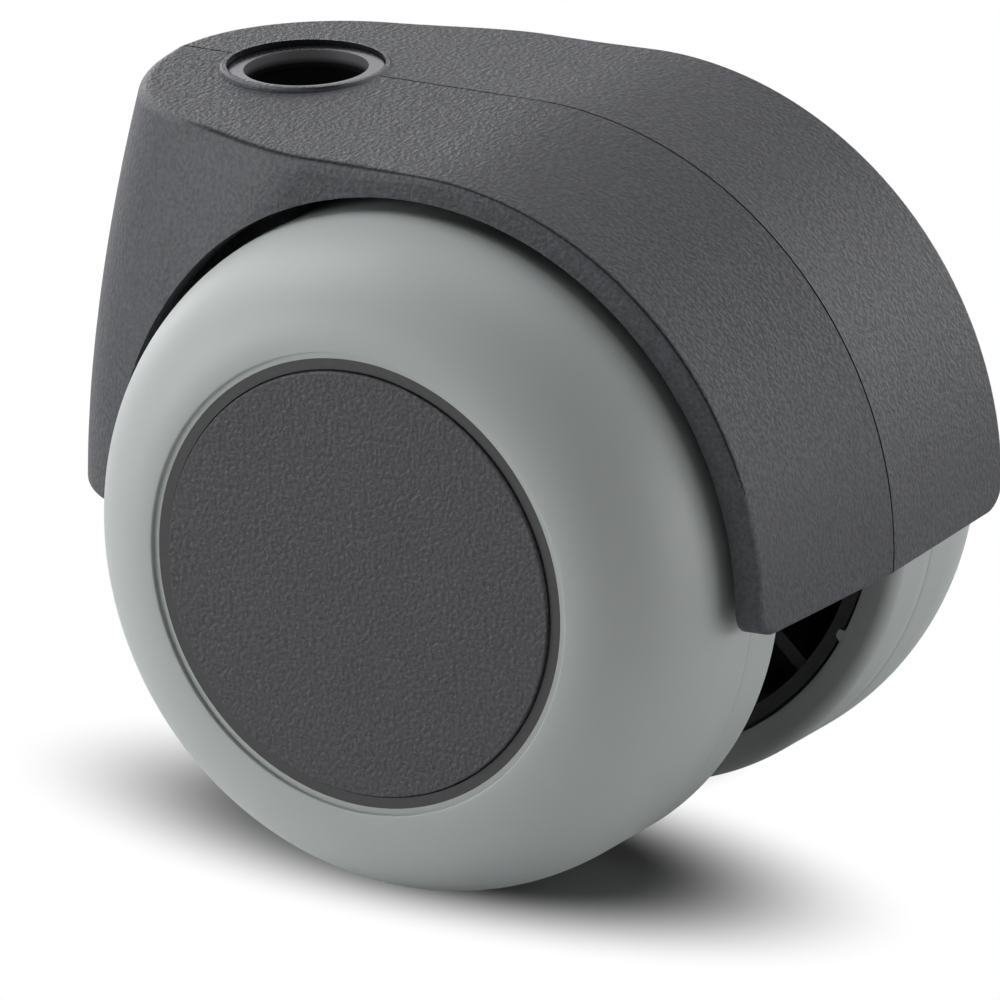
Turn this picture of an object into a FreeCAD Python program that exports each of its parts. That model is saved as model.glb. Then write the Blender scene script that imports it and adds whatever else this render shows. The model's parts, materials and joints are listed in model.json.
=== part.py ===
# Twin-wheel swivel caster: a one-piece moulded hood that turns on a steel bush for
# a stem, and two soft-tyred wheels on one fixed axle.
#
# Millimetres. Origin on the swivel axis, on the seat face of the bush. +Z is up,
# +Y is the front (the nose round the swivel axis), X lies along the axle.
import FreeCAD, Part
import math
import os
from FreeCAD import Vector

# Layout
WHEEL_DIAMETER = 50.0
TRAIL = 18.4                 # swivel axis to axle, along Y
BUSH_RECESS = 0.25           # bush seat face below the seam line at the swivel axis
WHEEL_GAP = 16.8             # between the tyres' inner faces
WHEEL_WIDTH = 17.1           # tyre inner face to the cap's face

# Hood
BARREL_WALL = 2.7            # rear barrel at the seam, over the arch
BARREL_SETBACK = 0.25        # the barrel's axis behind the axle
ROOF_SLOPE = 1.06            # degrees, rise of the top from the barrel to the nose
HOOD_WIDTH = 34.4            # over the two flat cheeks
MOULD_DRAFT = 2.9            # degrees, fall of the barrel from the seam to a cheek
NOSE_REACH = 14.5            # swivel axis to the front of the nose, at the foot
NOSE_LEAN = 3.4              # the nose's step back at the top
NOSE_LEAN_POWER = 1.75       # how the lean grows with height
NOSE_TAPER = 5.6             # a cheek's step inwards at the front of the top
CHEEK_FLAT_LOW = 17.0        # axle forward to where the cheek leaves its plane, at the foot
CHEEK_FLAT_TOP = 7.0         # the same at the top
CHEEK_FLAT_POWER = 3         # how that step back grows with height
NOSE_FRONT_LOW = 6.57        # straight front from the seam to a nose corner, at the foot
NOSE_FRONT_TOP = 1.96        # the same at the top
NOSE_FRONT_POWER = 1.4       # how it shortens with height
NOSE_STATIONS = 6            # plan outlines from the axle's height to the top
FRONT_SKIRT_DROP = 0.5       # front foot of the hood, below the axle
REAR_SKIRT_DROP = 3.0        # rear foot of the hood, below the axle
CREASE_RADIUS = 0.5          # edge between barrel and cheek
NOSE_EDGE_RADIUS = 1.0       # edge round the nose
SKIRT_CORNER_RADIUS = 2.2    # lower corners of the rear skirt
FOOT_EDGE_RADIUS = 0.7       # lower edge of the front
ROOF_WALL = 2.9              # over the hollow behind the nose
NOSE_WALL = 2.2              # round that hollow
ARCH_CLEARANCE = 1.05        # tyre to the arch in the cheek
WELL_DRAFT = 1.0             # degrees, the wells open towards the cheeks
SEAM_WIDTH = 0.16
SEAM_DEPTH = 0.12

# Middle web of the hood
WEB_THICKNESS = 3.2
RIB_THICKNESS = 1.6
RIB_ANGLES = (78.0, 104.0, 130.0)   # about the axle, from +Y towards +Z
WEB_REAR_ANGLE = 158.0       # where the web's rear edge meets the hood
WEB_SIDE_GAP = 1.4           # ribs and boss to the tyre's inner face
BOSS_RADIUS = 6.6
COLUMN_RADIUS = 6.9
COLUMN_DEPTH = 22.0          # seat face down to the foot of the column

# Swivel bush
STEM_BORE_DIAMETER = 9.0
BUSH_WALL = 0.7
FLANGE_DIAMETER = 11.2
FLANGE_THICKNESS = 1.2
BUSH_GROOVE_TOP = 1.3        # relief groove below the seat face
BUSH_GROOVE_HEIGHT = 1.5
BUSH_GROOVE_DEPTH = 0.35
SWIVEL_CLEARANCE = 0.05
SWIVEL_END_PLAY = 0.05       # under the flange
COLLAR_FIT = 0.01
COLLAR_ROOM = 0.4            # round the collar, in the web
MOUTH_CLEARANCE = 0.10       # round the flange
LIP_WIDTH = 0.45             # raised lip round the mouth
LIP_RISE = 0.1               # lip above the seam line
LIP_CHAMFER = 0.15
COLLAR_OVERHANG = 1.4        # retaining collar beyond the bush
COLLAR_THICKNESS = 0.9
COLLAR_GAP = 0.3
BUSH_TAIL = 0.5              # bush below the collar

# Axle
AXLE_DIAMETER = 8.0
AXLE_FIT = 0.01
AXLE_TAIL = 0.7              # axle beyond its clip
AXLE_CHAMFER = 0.4
WASHER_THICKNESS = 0.6
WASHER_RADIUS = 6.2
SIDE_PLAY = 0.3              # wheel to washer, and wheel to clip
CLIP_THICKNESS = 0.6
CLIP_RADIUS = 5.9
CLIP_GROOVE_DEPTH = 0.6
CLIP_CLEARANCE = 0.05
CLIP_MOUTH = 4.6

# Wheel core
HUB_BUSH_WALL = 1.0
HUB_BUSH_FLANGE = 0.4
HUB_BUSH_FLANGE_RADIUS = 7.0
HUB_CLEARANCE = 0.04
HUB_FIT = 0.01               # bush in the core
HUB_END_STEP = 0.2           # hub's outer end past the wall's inner face
HUB_RADIUS = 8.0
HUB_POCKET_RADIUS = 6.5      # recess for the axle clip
FACE_WALL = 2.0              # wall between hub and rim
FACE_RECESS = 2.7            # cap's face to the wall
RIM_WALL = 1.25
RIM_BEVEL = 2.2              # outer corner of the rim, under the tyre's shoulder
RIM_SETBACK = 0.3            # rim's end behind the tyre's inner face
RIM_RELIEF = 0.25            # step round the rim's end, clear of the tyre
RIM_RELIEF_LENGTH = 0.6
SPOKE_COUNT = 8
SPOKE_THICKNESS = 1.1
SPOKE_SETBACK = 1.8          # spokes' edge behind the rim's end
CHANNEL_DEPTH = 0.3          # round the cap, below the cap's face and the tyre's edge
CAP_RADIUS = 15.65
CAP_THICKNESS = 2.1
CAP_CLEARANCE = 0.1
CAP_EDGE_RADIUS = 0.15
CAP_SEAT_WIDTH = 1.7
SPIGOT_WALL = 1.1
SPIGOT_LENGTH = 0.4
COLLAR_RING_WALL = 0.8       # rim round the cap

# Tyre
TYRE_THICKNESS = 2.5         # tread down to the rim
TREAD_WIDTH = 7.3            # inner face to where the tread starts to round over
TYRE_INNER_RADIUS = 1.0      # inner edge of the tread
TYRE_LEDGE = 0.45            # tyre in the channel's floor
TYRE_EDGE_RADIUS = 0.12      # edge over the channel
TREAD_LINE_OFFSET = 4.6      # mould line on the tread, from the inner face
TREAD_LINE_WIDTH = 0.24
TREAD_LINE_DEPTH = 0.1
LUG_COUNT = 6                # lugs of the tyre in the rim's end
LUG_WIDTH = 0.85
LUG_HEIGHT = 0.5
LUG_LENGTH = 2.0
LUG_PHASE = 210.3            # degrees about the axle, from +Y towards +Z

# Derived places
AXLE_Y = -TRAIL
WHEEL_R = WHEEL_DIAMETER / 2
ARCH_R = WHEEL_R + ARCH_CLEARANCE
HOOD_RADIUS = ARCH_R + BARREL_WALL
ROOF_RISE = math.radians(ROOF_SLOPE)
HOOD_TOP_TO_AXLE = (HOOD_RADIUS + (TRAIL + BARREL_SETBACK) * math.sin(ROOF_RISE)) / math.cos(ROOF_RISE)
AXLE_Z = BUSH_RECESS - HOOD_TOP_TO_AXLE
RIM_RADIUS = WHEEL_R - TYRE_THICKNESS
AXLE_R = AXLE_DIAMETER / 2
BORE_R = STEM_BORE_DIAMETER / 2
BUSH_R = BORE_R + BUSH_WALL
MOUTH_R = FLANGE_DIAMETER / 2 + MOUTH_CLEARANCE
HALF_WIDTH = HOOD_WIDTH / 2
X_INNER = WHEEL_GAP / 2
X_FACE = X_INNER + WHEEL_WIDTH
X_CHANNEL = X_FACE - CHANNEL_DEPTH
X_BOSS = X_INNER - WEB_SIDE_GAP
X_HUB = X_BOSS + WASHER_THICKNESS + SIDE_PLAY
X_WALL_OUT = X_FACE - FACE_RECESS
X_WALL_IN = X_WALL_OUT - FACE_WALL
X_HUB_END = X_WALL_IN + HUB_END_STEP
X_CLIP = X_HUB_END + SIDE_PLAY
X_AXLE_END = X_CLIP + CLIP_THICKNESS + AXLE_TAIL
HUB_BORE_R = AXLE_R + HUB_CLEARANCE + HUB_BUSH_WALL
CAP_SEAT_X = X_FACE - CAP_THICKNESS
TYRE_SHOULDER_X = X_INNER + TREAD_WIDTH
TREAD_LINE_X = X_INNER + TREAD_LINE_OFFSET
CAP_POCKET_R = CAP_RADIUS + CAP_CLEARANCE
FACE_RING_R = CAP_POCKET_R + COLLAR_RING_WALL
FRONT_Y = TRAIL + NOSE_REACH           # from the axle, at the foot
DRAFT_SLOPE = math.tan(math.radians(MOULD_DRAFT))
EDGE_DROP = HALF_WIDTH * DRAFT_SLOPE
COLLAR_TOP = -COLUMN_DEPTH - COLLAR_GAP
BUSH_FOOT = COLLAR_TOP - COLLAR_THICKNESS - BUSH_TAIL
OVER = 10.0                            # how far cutting tools reach past a face
NEAR = 0.01                            # points closer than this coincide
HEAL = 0.001                           # tolerance for sound edges after rounding
FAR = 4 * HOOD_RADIUS                  # past any face of the hood
BARREL_SWEEP = 110.0                   # degrees of barrel, from the top down the rear

X_AXIS = Vector(1, 0, 0)
Z_AXIS = Vector(0, 0, 1)
AXLE = Vector(0, AXLE_Y, AXLE_Z)
BARREL = Vector(0, AXLE_Y - BARREL_SETBACK, AXLE_Z)


def at_axle(x, y, z):
    """Point given from the middle of the axle."""
    return Vector(x, AXLE_Y + y, AXLE_Z + z)


def polygon(points):
    """Closed face through the points."""
    return Part.Face(Part.makePolygon(points + points[:1]))


def axle_cylinder(x0, x1, radius):
    """Cylinder on the axle line between two planes of X."""
    return Part.makeCylinder(radius, x1 - x0, at_axle(x0, 0, 0), X_AXIS)


def axle_ring(x0, x1, outer, inner):
    """Flat ring on the axle line."""
    return axle_cylinder(x0, x1, outer).cut(axle_cylinder(x0 - OVER, x1 + OVER, inner))


def swivel_cylinder(z0, z1, radius):
    """Upright cylinder on the swivel axis."""
    return Part.makeCylinder(radius, z1 - z0, Vector(0, 0, z0), Z_AXIS)


def turned(edges):
    """Solid of revolution about the axle of a closed outline drawn in x and radius."""
    return Part.Face(Part.Wire(edges)).revolve(AXLE, X_AXIS, 360)


def lathe_lines(points):
    """Straight edges through (x, radius) points, drawn above the axle."""
    places = [at_axle(x, 0, r) for x, r in points]
    return [Part.LineSegment(a, b).toShape() for a, b in zip(places, places[1:])]


def mirrored(shape):
    return shape.mirror(Vector(0, 0, 0), X_AXIS)


def roof_section(low):
    """Cross-section of the hood where the barrel starts. It falls away from the seam by
    the draft."""
    side = HALF_WIDTH + OVER
    edge = HOOD_RADIUS - side * DRAFT_SLOPE
    outline = [(-side, low), (-side, edge), (0, HOOD_RADIUS), (side, edge), (side, low)]
    face = polygon([BARREL + Vector(x, 0, z) for x, z in outline])
    face.rotate(BARREL, X_AXIS, ROOF_SLOPE)
    return face


def below(drop):
    """Everything lower than a foot of the hood."""
    return Part.makeBox(2 * FAR, 2 * FAR, FAR, at_axle(-FAR, -FAR, -drop - FAR))


def rear_barrel():
    """Rear of the hood before it is trimmed in plan."""
    return roof_section(0).revolve(BARREL, X_AXIS, BARREL_SWEEP).cut(below(REAR_SKIRT_DROP))


def front_block():
    """Front of the hood before it is trimmed in plan: the top run on from the barrel."""
    length = FRONT_Y + OVER
    way = Vector(0, length * math.cos(ROOF_RISE), length * math.sin(ROOF_RISE))
    return roof_section(-FRONT_SKIRT_DROP - OVER).extrude(way).cut(below(FRONT_SKIRT_DROP))


def plan_outline(z, inset):
    """Outline of the hood in plan at one height above the axle, stepped in by a wall.

    Flat cheeks, which taper towards the nose the more the higher they are, round
    corners, and a front that leans back and falls away from the seam by the draft.
    """
    half_width = HALF_WIDTH - inset
    share = max(0.0, (z + FRONT_SKIRT_DROP) / (HOOD_TOP_TO_AXLE - EDGE_DROP + FRONT_SKIRT_DROP))
    flat = CHEEK_FLAT_LOW - (CHEEK_FLAT_LOW - CHEEK_FLAT_TOP) * share ** CHEEK_FLAT_POWER
    straight = NOSE_FRONT_LOW - (NOSE_FRONT_LOW - NOSE_FRONT_TOP) * share ** NOSE_FRONT_POWER
    apex_x = half_width - NOSE_TAPER * share
    front = FRONT_Y - inset - NOSE_LEAN * share ** NOSE_LEAN_POWER
    apex = Vector(apex_x, front - apex_x * DRAFT_SLOPE, 0)
    cheek_end = Vector(half_width, flat, 0)
    tip = Vector(0, front, 0)
    side_way = (apex - cheek_end).normalize()
    front_way = (tip - apex).normalize()
    corner_end = Vector(straight, front - straight * DRAFT_SLOPE, 0)
    leg = (corner_end - apex).Length
    corner_start = apex - side_way * leg
    radius = leg / math.tan(side_way.getAngle(front_way) / 2)
    centre = corner_start + Vector(-side_way.y, side_way.x, 0) * radius
    corner_mid = centre + (apex - centre).normalize() * radius
    blend = (corner_start - cheek_end).Length / 3
    poles = [cheek_end, cheek_end + Vector(0, blend, 0), corner_start - side_way * blend,
             corner_start]
    rear_end = Vector(half_width, -HOOD_RADIUS - OVER, 0)

    def half(sign):
        def placed(point):
            return at_axle(sign * point.x, point.y, z)

        taper = Part.BezierCurve()
        taper.setPoles([placed(p) for p in poles])
        return [Part.LineSegment(placed(rear_end), placed(cheek_end)).toShape(),
                taper.toShape(),
                Part.Arc(placed(corner_start), placed(corner_mid), placed(corner_end)).toShape(),
                Part.LineSegment(placed(corner_end), placed(tip)).toShape()]

    back = Part.LineSegment(at_axle(-half_width, rear_end.y, z),
                            at_axle(half_width, rear_end.y, z)).toShape()
    return Part.Wire(Part.__sortEdges__(half(1) + half(-1)[::-1] + [back]))


def plan_column(inset):
    """Upright form of the hood, stepped in by a wall: its plan outlines from foot to top."""
    step = (HOOD_TOP_TO_AXLE + CREASE_RADIUS + FRONT_SKIRT_DROP) / (NOSE_STATIONS - 1)
    lower = math.ceil(max(REAR_SKIRT_DROP, FRONT_SKIRT_DROP) / step)
    heights = [k * step - FRONT_SKIRT_DROP for k in range(-lower, NOSE_STATIONS)]
    return Part.makeLoft([plan_outline(z, inset) for z in heights], True, False)


def skirt_corner():
    """Stock outside the rounded lower corner of the rear skirt, right side."""
    r = SKIRT_CORNER_RADIUS
    length = 2 * HOOD_RADIUS
    corner = at_axle(HALF_WIDTH - r, -length - BOSS_RADIUS, -REAR_SKIRT_DROP)
    stock = Part.makeBox(r + OVER, length, r + OVER, corner - Vector(0, 0, OVER))
    round_bar = Part.makeCylinder(r, length, corner + Vector(0, 0, r), Vector(0, 1, 0))
    return stock.cut(round_bar)


def roof_frame(point):
    """Distance ahead of the barrel along the top, and height above the barrel's axis."""
    p = point - BARREL
    ahead = p.y * math.cos(ROOF_RISE) + p.z * math.sin(ROOF_RISE)
    up = p.z * math.cos(ROOF_RISE) - p.y * math.sin(ROOF_RISE)
    return ahead, up


def on_roof(point):
    """True for a point of the drafted barrel or top."""
    ahead, up = roof_frame(point)
    height = math.hypot(ahead, up) if ahead < 0 else up
    return abs(height - HOOD_RADIUS + abs(point.x) * DRAFT_SLOPE) < NEAR


def on_nose(point):
    """True for a point of the top's edge where it has left the flat cheek."""
    return roof_frame(point)[0] > NEAR and point.x < HALF_WIDTH - NEAR


def crease_edges(half):
    """Numbers of the edges where the roof of the half hood meets its sides or foot,
    with the rounding at each end: small along the cheek, large round the nose."""
    chosen = []
    for number, edge in enumerate(half.Edges, 1):
        ends = [v.Point for v in edge.Vertexes]
        middle = edge.valueAt((edge.FirstParameter + edge.LastParameter) / 2)
        across_top = all(abs(roof_frame(p)[0]) < NEAR for p in ends)
        in_mid_plane = all(abs(p.x) < NEAR for p in ends)
        if across_top or in_mid_plane or not all(on_roof(p) for p in ends + [middle]):
            continue
        radii = [NOSE_EDGE_RADIUS if on_nose(p) else CREASE_RADIUS for p in (ends[0], ends[-1])]
        chosen.append((number, radii[0], radii[1]))
    return chosen


def rounded(shape, edge_radii):
    """The shape with its numbered edges rounded from one radius to another."""
    document = FreeCAD.newDocument()
    base = document.addObject("Part::Feature", "base")
    base.Shape = shape
    fillet = document.addObject("Part::Fillet", "fillet")
    fillet.Base = base
    fillet.Edges = edge_radii
    document.recompute()
    result = fillet.Shape.copy()
    result.fix(HEAL, HEAL, HEAL)
    FreeCAD.closeDocument(document.Name)
    return result


def foot_edges(front):
    """Lower edges of the front, round its sides and nose."""
    foot_z = AXLE_Z - FRONT_SKIRT_DROP
    return [e for e in front.Edges
            if all(abs(v.Point.z - foot_z) < NEAR for v in e.Vertexes)
            and max(v.Point.y for v in e.Vertexes) > AXLE_Y + NEAR
            and max(v.Point.x for v in e.Vertexes) > NEAR]


def hood_form():
    """Outside of the hood as a full block, both halves rounded alike."""
    column = plan_column(0).common(Part.makeBox(FAR, 2 * FAR, 2 * FAR, at_axle(0, -FAR, -FAR)))
    front = front_block().common(column)
    front = front.makeFillet(FOOT_EDGE_RADIUS, foot_edges(front))
    half = front.fuse(rear_barrel().common(column)).removeSplitter().cut(skirt_corner())
    half = rounded(half, crease_edges(half))
    return half.fuse(mirrored(half))


def seam_blade(form):
    """Thin strip to score out along the mould line, just under the hood's surface."""
    slab = form.common(Part.makeBox(SEAM_WIDTH, 2 * FAR, 2 * FAR,
                                    at_axle(-SEAM_WIDTH / 2, -FAR, -FAR)))
    core = slab.translated(Vector(0, SEAM_DEPTH, -SEAM_DEPTH))
    core = core.common(slab.translated(Vector(0, -SEAM_DEPTH, -SEAM_DEPTH)))
    return slab.cut(core)


def well_radius(x):
    """Radius of a wheel well, which opens towards the cheek."""
    return ARCH_R - (HALF_WIDTH - x) * math.tan(math.radians(WELL_DRAFT))


def wheel_well():
    """Room for the right wheel, from the web out past the cheek."""
    x0 = WEB_THICKNESS / 2
    x1 = HALF_WIDTH + OVER
    return Part.makeCone(well_radius(x0), well_radius(x1), x1 - x0, at_axle(x0, 0, 0), X_AXIS)


def web_rear_opening():
    """Room behind the web: below a line from the hood to the underside of the boss."""
    reach = well_radius(0)
    top = math.radians(WEB_REAR_ANGLE)
    touch = top + math.acos(BOSS_RADIUS / reach)
    low = -2 * HOOD_RADIUS
    outline = [(BOSS_RADIUS * math.cos(touch), BOSS_RADIUS * math.sin(touch)),
               (reach * math.cos(top), reach * math.sin(top)),
               (low, reach * math.sin(top)), (low, low),
               (BOSS_RADIUS * math.cos(touch), low)]
    face = polygon([at_axle(-WEB_THICKNESS, y, z) for y, z in outline])
    prism = face.extrude(Vector(2 * WEB_THICKNESS, 0, 0))
    return prism.common(axle_cylinder(-WEB_THICKNESS, WEB_THICKNESS, reach))


def web_rib(angle):
    """Stiffening rib from the axle boss to the hood, on both sides of the web."""
    length = well_radius(X_BOSS) + ROOF_WALL / 2
    rib = Part.makeBox(2 * X_BOSS, length, RIB_THICKNESS,
                       at_axle(-X_BOSS, 0, -RIB_THICKNESS / 2))
    rib.rotate(AXLE, X_AXIS, angle)
    return rib


def nose_hollow():
    """Room under the top and behind the nose, right of the web, which leaves even walls."""
    room = front_block().translated(Vector(0, 0, -ROOF_WALL)).common(plan_column(NOSE_WALL))
    return room.common(Part.makeBox(FAR, 2 * FAR, 2 * FAR, at_axle(WEB_THICKNESS / 2, -FAR, -FAR)))


def mouth_lip():
    """Raised lip round the mouth, square to the sloping top, with its outer edge broken."""
    top = BUSH_RECESS + LIP_RISE
    lip = swivel_cylinder(-FLANGE_THICKNESS, top, MOUTH_R + LIP_WIDTH)
    lip = lip.makeChamfer(LIP_CHAMFER, [e for e in lip.Edges if e.Closed and e.CenterOfMass.z > 0])
    lip.rotate(Vector(0, 0, top), X_AXIS, ROOF_SLOPE)
    return lip


def make_housing():
    """Hood, web, axle boss and swivel column, one moulding."""
    well = wheel_well()
    form = hood_form()
    hollow = nose_hollow()
    body = form.cut([well, mirrored(well), hollow, mirrored(hollow), web_rear_opening(),
                     seam_blade(form)])
    boss = axle_cylinder(-X_BOSS, X_BOSS, BOSS_RADIUS)
    column = swivel_cylinder(-COLUMN_DEPTH, -FLANGE_THICKNESS, COLUMN_RADIUS)
    body = body.fuse([boss, column, mouth_lip()] + [web_rib(a) for a in RIB_ANGLES])
    ledge = -FLANGE_THICKNESS - SWIVEL_END_PLAY
    collar_r = BUSH_R + COLLAR_OVERHANG + COLLAR_ROOM
    cuts = [
        swivel_cylinder(-COLUMN_DEPTH - OVER, OVER, BUSH_R + SWIVEL_CLEARANCE),
        swivel_cylinder(ledge, OVER, MOUTH_R),
        swivel_cylinder(AXLE_Z - OVER, -COLUMN_DEPTH, collar_r),
        axle_cylinder(-HOOD_WIDTH, HOOD_WIDTH, AXLE_R + AXLE_FIT),
    ]
    return body.cut(cuts).removeSplitter()


def make_swivel_bush():
    """Flanged sleeve that takes the stem; the hood turns on it."""
    groove_r = BORE_R + BUSH_GROOVE_DEPTH
    groove_foot = -BUSH_GROOVE_TOP - BUSH_GROOVE_HEIGHT
    flange_r = FLANGE_DIAMETER / 2
    outline = [(BORE_R, 0), (flange_r, 0), (flange_r, -FLANGE_THICKNESS),
               (BUSH_R, -FLANGE_THICKNESS), (BUSH_R, BUSH_FOOT), (BORE_R, BUSH_FOOT),
               (BORE_R, groove_foot), (groove_r, groove_foot),
               (groove_r, -BUSH_GROOVE_TOP), (BORE_R, -BUSH_GROOVE_TOP)]
    face = polygon([Vector(r, 0, z) for r, z in outline])
    return face.revolve(Vector(0, 0, 0), Z_AXIS, 360)


def make_bush_collar():
    """Push-on collar under the column, which keeps the hood on the bush."""
    outer = swivel_cylinder(COLLAR_TOP - COLLAR_THICKNESS, COLLAR_TOP, BUSH_R + COLLAR_OVERHANG)
    return outer.cut(swivel_cylinder(COLLAR_TOP - OVER, OVER, BUSH_R + COLLAR_FIT))


def make_axle():
    """Steel axle, held in the boss, with a groove for a clip near each end."""
    axle = axle_cylinder(-X_AXLE_END, X_AXLE_END, AXLE_R)
    axle = axle.makeChamfer(AXLE_CHAMFER, [e for e in axle.Edges if e.Closed])
    groove = axle_ring(X_CLIP - CLIP_CLEARANCE, X_CLIP + CLIP_THICKNESS + CLIP_CLEARANCE,
                       AXLE_R + OVER, AXLE_R - CLIP_GROOVE_DEPTH)
    return axle.cut([groove, mirrored(groove)])


def make_axle_washer():
    return axle_ring(X_BOSS, X_BOSS + WASHER_THICKNESS, WASHER_RADIUS, AXLE_R + HUB_CLEARANCE)


def make_axle_clip():
    """Open retaining ring in the axle's groove."""
    inner = AXLE_R - CLIP_GROOVE_DEPTH + CLIP_CLEARANCE
    ring = axle_ring(X_CLIP, X_CLIP + CLIP_THICKNESS, CLIP_RADIUS, inner)
    mouth = Part.makeBox(2 * CLIP_THICKNESS, CLIP_MOUTH, 2 * CLIP_RADIUS,
                         at_axle(X_CLIP - CLIP_THICKNESS / 2, -CLIP_MOUTH / 2, -2 * CLIP_RADIUS))
    return ring.cut(mouth)


def make_hub_bush():
    """Flanged plain bearing in the wheel's hub."""
    bore = AXLE_R + HUB_CLEARANCE
    flange = axle_ring(X_HUB, X_HUB + HUB_BUSH_FLANGE, HUB_BUSH_FLANGE_RADIUS, bore)
    return flange.fuse(axle_ring(X_HUB, X_HUB_END, HUB_BORE_R, bore)).removeSplitter()


def tyre_lugs():
    """Small lugs on the bore of the tyre, which lock it in the rim's end against turning."""
    angle = math.degrees(LUG_WIDTH / RIM_RADIUS)
    low = RIM_RADIUS - LUG_HEIGHT
    high = RIM_RADIUS + TYRE_THICKNESS / 2
    lugs = []
    for k in range(LUG_COUNT):
        section = polygon([at_axle(x, 0, r) for x, r in (
            (X_INNER, low), (X_INNER, high), (X_INNER + LUG_LENGTH, high), (X_INNER + LUG_LENGTH, low))])
        lug = section.revolve(AXLE, X_AXIS, angle)
        lug.rotate(AXLE, X_AXIS, LUG_PHASE - 90 - angle / 2 + k * 360 / LUG_COUNT)
        lugs.append(lug)
    return lugs


def make_wheel_core():
    """Hub, wall and rim of the right wheel, open and ribbed on its inner side."""
    hub_x = X_HUB + HUB_BUSH_FLANGE
    rim_x = X_INNER + RIM_SETBACK
    bore = HUB_BORE_R + HUB_FIT
    rim_in = RIM_RADIUS - RIM_WALL
    relief_r = RIM_RADIUS - RIM_RELIEF
    relief_x = rim_x + RIM_RELIEF_LENGTH
    seat_in = CAP_POCKET_R - CAP_SEAT_WIDTH
    outline = [(hub_x, bore), (hub_x, HUB_RADIUS), (X_WALL_IN, HUB_RADIUS), (X_WALL_IN, rim_in),
               (rim_x, rim_in), (rim_x, relief_r), (relief_x, relief_r), (relief_x, RIM_RADIUS),
               (X_WALL_OUT - RIM_BEVEL, RIM_RADIUS),
               (X_WALL_OUT, RIM_RADIUS - RIM_BEVEL), (X_WALL_OUT, FACE_RING_R),
               (X_CHANNEL, FACE_RING_R), (X_CHANNEL, CAP_POCKET_R),
               (CAP_SEAT_X, CAP_POCKET_R), (CAP_SEAT_X, seat_in), (X_WALL_OUT, seat_in),
               (X_WALL_OUT, HUB_POCKET_RADIUS), (X_HUB_END, HUB_POCKET_RADIUS),
               (X_HUB_END, bore), (hub_x, bore)]
    core = turned(lathe_lines(outline))
    spokes = []
    for k in range(SPOKE_COUNT):
        x0 = rim_x + SPOKE_SETBACK
        spoke = Part.makeBox(X_WALL_IN - x0, SPOKE_THICKNESS, rim_in - HUB_RADIUS + RIM_WALL,
                             at_axle(x0, -SPOKE_THICKNESS / 2, HUB_RADIUS - RIM_WALL / 2))
        spoke.rotate(AXLE, X_AXIS, k * 360 / SPOKE_COUNT)
        spokes.append(spoke)
    return core.fuse(spokes).removeSplitter().cut(tyre_lugs())


def make_tyre():
    """Soft tyre: flat tread with a mould line, an elliptical shoulder and a step down to
    the channel round the cap."""
    step_r = FACE_RING_R + TYRE_LEDGE
    edge = TYRE_EDGE_RADIUS
    round_off = TYRE_INNER_RADIUS
    slant = math.sqrt(0.5)
    inner_arc = Part.Arc(
        at_axle(X_INNER, 0, WHEEL_R - round_off),
        at_axle(X_INNER + round_off * (1 - slant), 0, WHEEL_R - round_off * (1 - slant)),
        at_axle(X_INNER + round_off, 0, WHEEL_R))
    shoulder = Part.BezierCurve()
    shoulder.setPoles([at_axle(TYRE_SHOULDER_X, 0, WHEEL_R), at_axle(X_FACE, 0, WHEEL_R),
                       at_axle(X_FACE, 0, step_r + edge)])
    shoulder.setWeight(2, slant)
    step_edge = Part.Arc(at_axle(X_FACE, 0, step_r + edge),
                         at_axle(X_FACE - edge * (1 - slant), 0, step_r + edge * (1 - slant)),
                         at_axle(X_FACE - edge, 0, step_r))
    half_line = TREAD_LINE_WIDTH / 2
    tread = lathe_lines([(X_INNER + round_off, WHEEL_R), (TREAD_LINE_X - half_line, WHEEL_R),
                         (TREAD_LINE_X, WHEEL_R - TREAD_LINE_DEPTH),
                         (TREAD_LINE_X + half_line, WHEEL_R), (TYRE_SHOULDER_X, WHEEL_R)])
    back = lathe_lines([(X_FACE - edge, step_r), (X_CHANNEL, step_r), (X_CHANNEL, FACE_RING_R),
                        (X_WALL_OUT, FACE_RING_R),
                        (X_WALL_OUT, RIM_RADIUS - RIM_BEVEL),
                        (X_WALL_OUT - RIM_BEVEL, RIM_RADIUS), (X_INNER, RIM_RADIUS),
                        (X_INNER, WHEEL_R - round_off)])
    outline = [inner_arc.toShape()] + tread + [shoulder.toShape(), step_edge.toShape()] + back
    return turned(outline).fuse(tyre_lugs()).removeSplitter()


def make_wheel_cap():
    """Flat cap pressed into the wheel's face over the axle end."""
    disc = axle_cylinder(CAP_SEAT_X, X_FACE, CAP_RADIUS)
    disc = disc.makeFillet(CAP_EDGE_RADIUS, [e for e in disc.Edges
                                             if e.Closed and e.CenterOfMass.x > X_FACE - NEAR])
    spigot_r = CAP_POCKET_R - CAP_SEAT_WIDTH - CAP_CLEARANCE
    spigot = axle_ring(CAP_SEAT_X - SPIGOT_LENGTH, CAP_SEAT_X, spigot_r, spigot_r - SPIGOT_WALL)
    return disc.fuse(spigot).removeSplitter()


def main():
    os.makedirs("parts", exist_ok=True)
    nodes = {
        "housing": make_housing(),
        "swivel_bush": make_swivel_bush(),
        "bush_collar": make_bush_collar(),
        "axle_pin": make_axle(),
    }
    one_side = {
        "axle_washer": make_axle_washer(),
        "axle_clip": make_axle_clip(),
        "hub_bush": make_hub_bush(),
        "wheel_core": make_wheel_core(),
        "tyre": make_tyre(),
        "wheel_cap": make_wheel_cap(),
    }
    for name, shape in one_side.items():
        nodes["right_" + name] = shape
        nodes["left_" + name] = mirrored(shape)
    for name, shape in nodes.items():
        solids = shape.Solids
        print(name, shape.isValid(), len(solids), round(shape.Volume, 2))
        solid = solids[0] if len(solids) == 1 else Part.makeCompound(solids)
        solid.exportStep("parts/" + name + ".step")


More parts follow.
